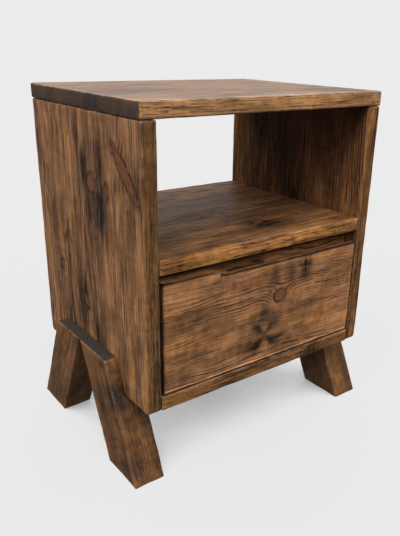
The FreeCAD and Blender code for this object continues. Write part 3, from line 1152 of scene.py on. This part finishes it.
@dataclass
class Legs:
    """The four leaning legs, each notched over the foot of a side panel."""

    lean: float = math.radians(25.7)
    shoulder: float = 0.100
    spacing: float = 0.010
    rim: float = 0.0058
    easing: float = 0.0040
    hollow: float = 0.00025
    dents: float = 0.0008
    finish: StainedPine = StainedPine(
        "leg_pine", early=(0.250, 0.112, 0.047), ring=3.8, roughness=0.34, soak=1.02, wear_and_highlight=0.16
    )

    def build(self) -> list[bpy.types.Object]:
        """Makes and finishes the legs.

        Returns:
            The legs.
        """
        return [self._leg(hand, end) for hand in Hand for end in End]

    def _leg(self, hand: Hand, end: End) -> bpy.types.Object:
        """Makes one leg: its outer half to full height, then its inner half to the shoulder.

        Args:
            hand: the side that it is on.
            end: whether it stands at the front or the rear.

        Returns:
            The leg.
        """
        node = f"{end.name.lower()}_{hand.name.lower()}_leg"
        low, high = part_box(node)
        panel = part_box(f"{hand.name.lower()}_side_panel")
        outer, inner = (high.x, low.x) if hand is Hand.RIGHT else (low.x, high.x)
        notch = panel[1].x if hand is Hand.RIGHT else panel[0].x
        shift = (high.z - low.z) * math.tan(self.lean)
        width = (high.y - low.y) - shift
        foot = low.y if end is End.FRONT else high.y - width
        top = foot + (shift if end is End.FRONT else -shift)
        corners = [
            Vector((outer, foot, low.z)),
            Vector((outer, foot + width, low.z)),
            Vector((outer, top + width, high.z)),
            Vector((outer, top, high.z)),
        ]
        wood = Workpiece.slice(corners, Vector((notch - outer, 0.0, 0.0)))
        wood.cut(Axis.Z.way, self.shoulder)
        self._cheek(wood, notch, inner)
        along = Vector((0.0, -end.value * math.sin(self.lean), math.cos(self.lean)))
        side = Vector((0.0, math.cos(self.lean), end.value * math.sin(self.lean)))
        for way in (Axis.X.way, side, Axis.Z.way):
            wood.score(way, self.spacing, self.rim)
        lie = Lie((low + high) / 2, along, side)
        wood.label(lie)
        wood.ease(self.easing)
        stock = LEG_STOCK[(hand, end)]
        wood.weather(self.hollow, self.dents, stock.seed)
        material = self.finish.material(node, lie, stock)
        return wood.finished(f"{node}_wood", "case", [node], "leg_pine", material)

    def _cheek(self, wood: Workpiece, notch: float, inner: float) -> None:
        """Grows the part of a leg that stands under the panel.

        Args:
            wood: the leg's outer half.
            notch: the x of the notch's face.
            inner: the x of the leg's inner face.
        """
        below = [
            f
            for f in wood.mesh.faces
            if abs(f.calc_center_median().x - notch) < NEAR
            and f.calc_center_median().z < self.shoulder
        ]
        wood.grow(below, Vector((inner - notch, 0.0, 0.0)))
        bmesh.ops.delete(wood.mesh, geom=below, context="FACES_ONLY")
        bmesh.ops.recalc_face_normals(wood.mesh, faces=wood.mesh.faces)


@dataclass
class DrawerFront:
    """The drawer's front board, with its lowered finger edge bevelled behind."""

    scoop_start: float = 0.0720
    scoop_ramp: float = 0.0230
    scoop_drop: float = 0.0060
    bevel: float = 0.0140
    spacing: float = 0.010
    ramp_step: float = 0.0023
    rim: float = 0.0034
    easing: float = 0.0019
    hollow: float = 0.00022
    dents: float = 0.0005
    finish: StainedPine = StainedPine("front_pine", ring=3.6, taper=0.02, soak=0.95, wear_and_highlight=0.2)

    def build(self) -> bpy.types.Object:
        """Makes and finishes the front.

        Returns:
            The front.
        """
        low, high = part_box("drawer_front")
        lie = lie_of("drawer_front", Axis.X, Axis.Z)
        wood = Workpiece.sawn(low, high)
        self._scoop(wood, low, high)
        wood.score(Axis.Z.way, self.spacing, self.rim)
        wood.cut(Axis.Y.way, low.y + self.rim)
        wood.label(lie)
        wood.ease(self.easing)
        wood.weather(self.hollow, self.dents, FRONT_STOCK.seed)
        material = self.finish.material("drawer_front", lie, FRONT_STOCK)
        return wood.finished(
            "drawer_front_wood", "drawer", ["drawer_front"], "front_pine", material
        )

    def _scoop(self, wood: Workpiece, low: Vector, high: Vector) -> None:
        """Lowers the top edge past the ramp, and bevels its back.

        Args:
            wood: the board.
            low: its lowest corner.
            high: its highest corner.
        """
        start = low.x + self.scoop_start
        wood.score(Axis.X.way, self.spacing, self.rim)
        steps = round(self.scoop_ramp / self.ramp_step)
        for step in range(steps + 1):
            wood.cut(Axis.X.way, start + self.scoop_ramp * step / steps)
        for vert in wood.mesh.verts:
            if vert.co.z > high.z - NEAR:
                vert.co.z -= self._drop(vert.co.x - start)
        behind = [
            e
            for e in wood.mesh.edges
            if all(
                v.co.y > high.y - NEAR
                and v.co.z > (low.z + high.z) / 2
                and v.co.x > start + self.scoop_ramp - NEAR
                for v in e.verts
            )
            and abs(e.verts[0].co.x - e.verts[1].co.x) > NEAR
        ]
        wood.bevel(behind, self.bevel, 1)

    def _drop(self, past: float) -> float:
        """How far the top edge has dropped.

        Args:
            past: how far past the start of the ramp.

        Returns:
            The drop: an arc that leaves the full height at a corner and ends level.
        """
        share = min(1.0, max(0.0, past / self.scoop_ramp))
        return self.scoop_drop * (1.0 - (1.0 - share) ** 2)


@dataclass
class HiddenWood:
    """The wooden parts that keep their CAD shape: the drawer's box, runners, dowels and back."""

    box: StainedPine = StainedPine(
        "box_pine",
        early=(0.300, 0.145, 0.040),
        late=(0.120, 0.050, 0.014),
        streak_depth=0.70,
        roughness=0.42,
        coat=0.08,
    )
    case: StainedPine = StainedPine("case_pine")
    ply: BirchPly = BirchPly()
    beech: StainedPine = StainedPine(
        "beech",
        early=(0.46, 0.29, 0.17),
        late=(0.36, 0.21, 0.115),
        ring=1.4,
        streak_depth=0.25,
        coat=0.05,
        roughness=0.45,
    )

    def build(self) -> None:
        """Dresses the parts."""
        parts = (
            ("drawer_box_back", self.box, Axis.X, Axis.Z, Stock(33.0)),
            ("drawer_left_side", self.box, Axis.Y, Axis.Z, Stock(35.0)),
            ("drawer_right_side", self.box, Axis.Y, Axis.Z, Stock(37.0)),
            ("left_drawer_runner", self.beech, Axis.Y, Axis.Z, Stock(41.0)),
            ("right_drawer_runner", self.beech, Axis.Y, Axis.Z, Stock(43.0)),
            ("top_dowels", self.beech, Axis.Z, Axis.Y, Stock(45.0)),
            ("shelf_dowels", self.beech, Axis.X, Axis.Y, Stock(46.0)),
            ("bottom_dowels", self.beech, Axis.X, Axis.Y, Stock(47.0)),
            ("back_dowels", self.beech, Axis.X, Axis.Z, Stock(48.0)),
            ("drawer_box_dowels", self.beech, Axis.X, Axis.Z, Stock(49.0)),
            ("back_board", self.case, Axis.X, Axis.Z, Stock(51.0, tone=0.8, lines=1.4)),
            ("drawer_box_front", self.case, Axis.X, Axis.Z, Stock(31.0, tone=1.5, lines=1.4)),
            ("drawer_bottom", self.ply, Axis.X, Axis.Y, Stock(53.0)),
        )
        for node, finish, grain, across, stock in parts:
            dress(node, finish.material(node, lie_of(node, grain, across), stock))
        LOG.info("box, runners, dowels, back and drawer bottom finished")


@dataclass
class Fasteners:
    """The screws, which keep their CAD shape."""

    finish: ZincSteel = ZincSteel()
    nodes: tuple[str, ...] = ("leg_screws", "runner_screws", "drawer_front_screws")

    def build(self) -> None:
        """Dresses the screws."""
        steel = self.finish.material()
        for node in self.nodes:
            dress(node, steel)
        LOG.info("%d sets of screws finished", len(self.nodes))


def marks_on(
    kind: type, normal: Axis, level: float, *rows: tuple[float, ...]
) -> tuple[Union[Knot, Smudge], ...]:
    """Marks that lie on one flat face, in millimetres.

    Args:
        kind: what they are, Knot or Smudge.
        normal: the way that the face looks.
        level: where the face is along that way.
        rows: each mark's two places on the face, then the mark's own numbers.

    Returns:
        The marks.
    """
    made = []
    for first, second, *rest in rows:
        at = [first, second]
        at.insert(list(Axis).index(normal), level)
        made.append(kind(tuple(at), *rest))
    return tuple(made)


TOP_STOCK = Stock(
    1.7,
    pith=(60.0, -80.0),
    tone=0.98,
    streaks=0.8,
    edge_tone=1.80,
    # The top is paled as a painted sheen, lighter than the sides as if lit from above.
    pale=0.28,
    sheen=1.3,
    knots=marks_on(
        Knot,
        Axis.Z,
        458.0,
        (-40.0, 60.0, 6.0, 1.3, 0.2, 5.0, 0.7),
        (70.0, -30.0, 4.5, 1.4, -0.3, 4.0, 0.6),
    ),
    smudges=marks_on(Smudge, Axis.Z, 458.0, (-120.0, -40.0, 60.0, 22.0, 0.5)),
)

LEFT_STOCK = Stock(
    4.2,
    pith=(62.0, -52.0),
    tone=1.32,
    streaks=0.80,
    lines=1.10,
    edge_tone=0.56,
    pale=0.08,
    knots=marks_on(
        Knot,
        Axis.X,
        -180.0,
        (-23.5, 355.7, 12.0, 1.1, -0.5, 5.0, 0.45),
        (-105.0, 381.0, 9.0, 4.3, 0.766, 1.6, 0.30),
        (-62.0, 352.0, 4.5, 2.2, 0.1, 2.5, 0.2, 0.6),
        (81.0, 225.0, 5.0, 1.7, -0.5, 3.0, 0.5),
        (9.5, 195.0, 5.0, 2.4, 0.5, 3.0, 0.6),
    ),
    smudges=marks_on(
        Smudge,
        Axis.X,
        -180.0,
        (-5.0, 372.0, 22.0, 9.0, 0.95),
        (-44.0, 384.0, 22.0, 9.0, 0.70),
        (-45.0, 328.0, 30.0, 11.0, 0.95),
        (-12.0, 320.0, 28.0, 9.0, 0.70),
        (-84.0, 358.0, 14.0, 7.0, 0.60),
        (-132.0, 372.0, 30.0, 6.0, 0.70),
        (15.0, 407.0, 26.0, 5.0, 0.5),
        (95.0, 300.0, 90.0, 9.0, 0.4),
        # These three clouds darken the panel towards its foot, near the legs.
        (30.0, 205.0, 46.0, 22.0, 0.6),
        (-20.0, 160.0, 40.0, 20.0, 0.5),
        (70.0, 150.0, 34.0, 30.0, 0.5),
    ),
)

RIGHT_STOCK = Stock(
    7.9,
    pith=(230.0, 60.0),
    tone=1.06,
    streaks=0.75,
    lines=1.5,
    sheen=0.55,
    knots=marks_on(Knot, Axis.X, 161.0, (71.0, 395.0, 6.0, 1.3, 0.2, 5.0, 0.9)),
    smudges=marks_on(
        Smudge,
        Axis.X,
        161.0,
        (-9.5, 298.0, 14.0, 8.0, 1.0),
        (20.0, 360.0, 80.0, 26.0, 0.6),
    ),
)

SHELF_STOCK = Stock(
    11.3,
    pith=(105.0, -70.0),
    tone=0.92,
    streaks=0.75,
    lines=1.3,
    edge_tone=1.75,
    sheen=0.25,
    knots=marks_on(
        Knot,
        Axis.Z,
        290.5,
        (-6.4, -8.8, 7.0, 2.2, 0.1, 4.0, 0.9),
        (28.0, -84.0, 5.0, 1.8, 0.1, 3.0, 0.9),
        (120.0, 60.0, 5.0, 1.4, 0.1, 4.0, 0.7),
    ),
    smudges=marks_on(
        Smudge,
        Axis.Z,
        290.5,
        (40.0, -98.0, 28.0, 10.0, 1.1),
        (-60.0, -20.0, 40.0, 12.0, 0.5),
    ),
)

BOTTOM_STOCK = Stock(
    14.6,
    pith=(10.0, -60.0),
    knots=marks_on(Knot, Axis.Z, 108.0, (87.0, -150.0, 7.0, 1.8, 0.0, 5.0, 0.6)),
)

CASE_PLANS = (
    BoardPlan("top_board", Axis.X, Axis.Y, TOP_STOCK),
    BoardPlan("left_side_panel", Axis.Z, Axis.Y, LEFT_STOCK, foot=0.0052),
    BoardPlan("right_side_panel", Axis.Z, Axis.Y, RIGHT_STOCK, foot=0.0052),
    BoardPlan("shelf_board", Axis.X, Axis.Y, SHELF_STOCK),
    BoardPlan("bottom_board", Axis.X, Axis.Y, BOTTOM_STOCK),
)

LEG_STOCK = {
    (Hand.LEFT, End.FRONT): Stock(
        17.1,
        pith=(-8.0, -40.0),
        tone=0.98,
        streaks=0.45,
        lines=0.60,
        mottle=2.1,
        edge_tone=0.68,
        smudges=(
            Smudge((-188.0, -86.0, 104.0), 20.0, 22.0, 0.85),
            Smudge((-198.0, -62.0, 78.0), 30.0, 9.0, 0.7),
            Smudge((-178.0, -124.0, 16.0), 18.0, 20.0, 0.5),
        ),
    ),
    (Hand.LEFT, End.REAR): Stock(
        19.4, pith=(6.0, -36.0), streaks=0.45, lines=0.6, mottle=1.5, edge_tone=0.8
    ),
    (Hand.RIGHT, End.FRONT): Stock(
        22.8,
        pith=(4.0, 42.0),
        tone=0.95,
        streaks=0.45,
        lines=0.5,
        mottle=1.7,
        edge_tone=0.8,
        smudges=(Smudge((190.0, -60.0, 86.0), 14.0, 12.0, 0.9),),
    ),
    (Hand.RIGHT, End.REAR): Stock(
        25.5, pith=(-6.0, 38.0), streaks=0.5, lines=0.6, mottle=1.5, edge_tone=0.8
    ),
}

FRONT_STOCK = Stock(
    28.3,
    pith=(-165.0, -70.0),
    tone=1.60,
    streaks=0.32,
    lines=0.95,
    mottle=1.25,
    edge_tone=0.55,
    knots=marks_on(
        Knot,
        Axis.Y,
        -143.0,
        (20.0, 208.0, 9.0, 1.2, 0.15, 3.5, 0.25, 0.9),
        (-4.0, 157.0, 3.6, 1.2, 0.0, 3.0, 0.2, 0.8, 0.8),
    ),
    smudges=marks_on(
        Smudge,
        Axis.Y,
        -143.0,
        (64.0, 238.0, 12.0, 19.0, 0.95),
        (38.0, 232.0, 8.0, 14.0, 0.6),
        (10.0, 232.0, 9.0, 16.0, 0.5),
        (-6.0, 188.0, 11.0, 16.0, 0.65),
        (-30.0, 150.0, 20.0, 13.0, 0.45),
        (24.0, 150.0, 17.0, 12.0, 0.45),
        (-120.0, 150.0, 42.0, 16.0, 0.4),
        (-90.0, 208.0, 46.0, 9.0, 0.4),
        (110.0, 186.0, 46.0, 8.0, 0.4),
    ),
)


# ---------------------------------------------------------------- the studio


@dataclass(frozen=True)
class Lamp:
    """A wide soft lamp: where its light comes from, and how wide it looks in degrees."""

    name: str
    source: Triple
    strength: float
    spread: float

    def hang(self) -> None:
        """Puts the lamp in the scene."""
        data = bpy.data.lights.new(self.name, "SUN")
        data.energy = self.strength
        data.angle = math.radians(self.spread)
        lamp = bpy.data.objects.new(self.name, data)
        lamp.rotation_mode = "QUATERNION"
        lamp.rotation_quaternion = Vector(self.source).to_track_quat("Z", "Y")
        bpy.context.scene.collection.objects.link(lamp)


@dataclass
class Studio:
    """A pale floor with a painted shadow close under the stand, an even sky of soft light, two soft
    lamps and the camera.
    """

    floor_size: float = 60.0
    floor_grey: float = 0.06
    floor_glow: float = 0.732
    # How dark the floor's painted shadow gets under the stand, and over what occlusion it reaches and
    # fades.
    shade: float = 0.40
    shade_reach: float = 0.22
    shade_fade: tuple[float, float] = (0.10, 0.45)
    backdrop: float = 0.836
    sky_strength: float = 1.55
    sky: tuple[tuple[float, float], ...] = (
        (0.0, 0.04),
        (0.47, 0.05),
        (0.60, 0.07),
        (0.70, 0.17),
        (0.80, 0.95),
        (1.0, 0.75),
    )
    rear_glow: float = 2.0
    rear_reach: tuple[float, float] = (0.45, 0.85)
    rear_height: tuple[float, float] = (0.64, 0.14)
    lamps: tuple[Lamp, ...] = (
        Lamp("key_lamp", (-1.00, -0.20, 0.95), 1.30, 45.0),
        Lamp("fill_lamp", (-0.15, -1.00, 1.15), 1.05, 35.0),
    )
    lens: float = 40.04
    sensor: float = 36.0
    shift: tuple[float, float] = (-0.0409, 0.0132)
    eye: Triple = (-0.4760, -0.6619, 0.5092)
    bearing: float = 0.6568
    dip: float = 0.3684
    roll: float = 0.0233
    clip: tuple[float, float] = (0.01, 200.0)

    def build(self) -> None:
        """Makes the floor, the light and the camera."""
        self._floor()
        self._sky()
        for lamp in self.lamps:
            lamp.hang()
        self._camera()
        view = bpy.context.scene.view_settings
        view.view_transform = "Standard"
        view.look = "None"
        LOG.info("studio ready")

    def _floor(self) -> None:
        """The floor, a pale matt sheet that glows evenly, with a painted shadow that darkens it close
        under the stand.
        """
        mesh = bmesh.new()
        bmesh.ops.create_grid(mesh, x_segments=1, y_segments=1, size=self.floor_size / 2)
        data = bpy.data.meshes.new("floor")
        mesh.to_mesh(data)
        mesh.free()
        sheet = NodeSheet(bpy.data.materials.new("floor_paper"))
        # Painted shadow: where the occlusion reading finds the stand close by, the floor's glow is
        # darkened.
        near = sheet.node("ShaderNodeAmbientOcclusion", {"samples": 16}, {"Distance": self.shade_reach})
        open_sky = Value(sheet, near.outputs["AO"]).rise(*self.shade_fade)
        paper = sheet.surface(
            {
                "Base Color": (self.floor_grey,) * 3 + (1.0,),
                "Roughness": 1.0,
                "Specular IOR Level": 0.0,
                "Emission Color": sheet.blend((self.shade,) * 3, (1.0, 1.0, 1.0), open_sky),
                "Emission Strength": self.floor_glow,
            }
        )
        data.materials.append(paper)
        floor = bpy.data.objects.new("floor", data)
        floor.visible_diffuse = False
        floor.visible_glossy = False
        bpy.context.scene.collection.objects.link(floor)

    def _sky(self) -> None:
        """Light that falls mostly from above, behind an even pale backdrop."""
        world = bpy.data.worlds.new("studio_sky")
        bpy.context.scene.world = world
        sheet = NodeSheet(world)
        way = sheet.node("ShaderNodeTexCoord").outputs["Generated"]
        parts = sheet.node("ShaderNodeSeparateXYZ", {}, {0: way}).outputs
        right, back, height = (Value(sheet, part) for part in parts)
        behind = right * math.sin(self.bearing) + back * math.cos(self.bearing)
        band = (height - self.rear_height[0]).bell(self.rear_height[1])
        glow = sheet.ramp(height * 0.5 + 0.5, self.sky)
        glow = glow + behind.rise(*self.rear_reach) * band * self.rear_glow
        entries = {"Color": glow, "Strength": self.sky_strength}
        light = sheet.node("ShaderNodeBackground", {}, entries)
        plain = sheet.node(
            "ShaderNodeBackground",
            {},
            {"Color": (self.backdrop,) * 3 + (1.0,), "Strength": 1.0},
        )
        seen = sheet.node("ShaderNodeLightPath").outputs["Is Camera Ray"]
        mixed = sheet.node(
            "ShaderNodeMixShader", {}, {0: seen, 1: light.outputs[0], 2: plain.outputs[0]}
        )
        sheet.node("ShaderNodeOutputWorld", {}, {"Surface": mixed.outputs[0]})

    def _camera(self) -> None:
        """The camera, at the front left, looking down a little."""
        level = Vector((math.sin(self.bearing), math.cos(self.bearing), 0.0))
        ahead = level * math.cos(self.dip) - Vector((0.0, 0.0, math.sin(self.dip)))
        right = Vector((math.cos(self.bearing), -math.sin(self.bearing), 0.0))
        up = right.cross(ahead)
        c, s = math.cos(self.roll), math.sin(self.roll)
        turned = Matrix((right * c + up * s, up * c - right * s, -ahead)).transposed()
        data = bpy.data.cameras.new("camera")
        data.lens, data.sensor_width = self.lens, self.sensor
        data.shift_x, data.shift_y = self.shift
        data.clip_start, data.clip_end = self.clip
        camera = bpy.data.objects.new("camera", data)
        camera.matrix_world = Matrix.Translation(self.eye) @ turned.to_4x4()
        bpy.context.scene.collection.objects.link(camera)
        bpy.context.scene.camera = camera


def main() -> None:
    """Builds the stand's looks in order, then the studio round it."""
    logging.basicConfig(level=logging.INFO, format="%(name)s: %(message)s")
    CaseBoards().build()
    Legs().build()
    DrawerFront().build()
    HiddenWood().build()
    Fasteners().build()
    Studio().build()


if __name__ == "__main__":
    main()
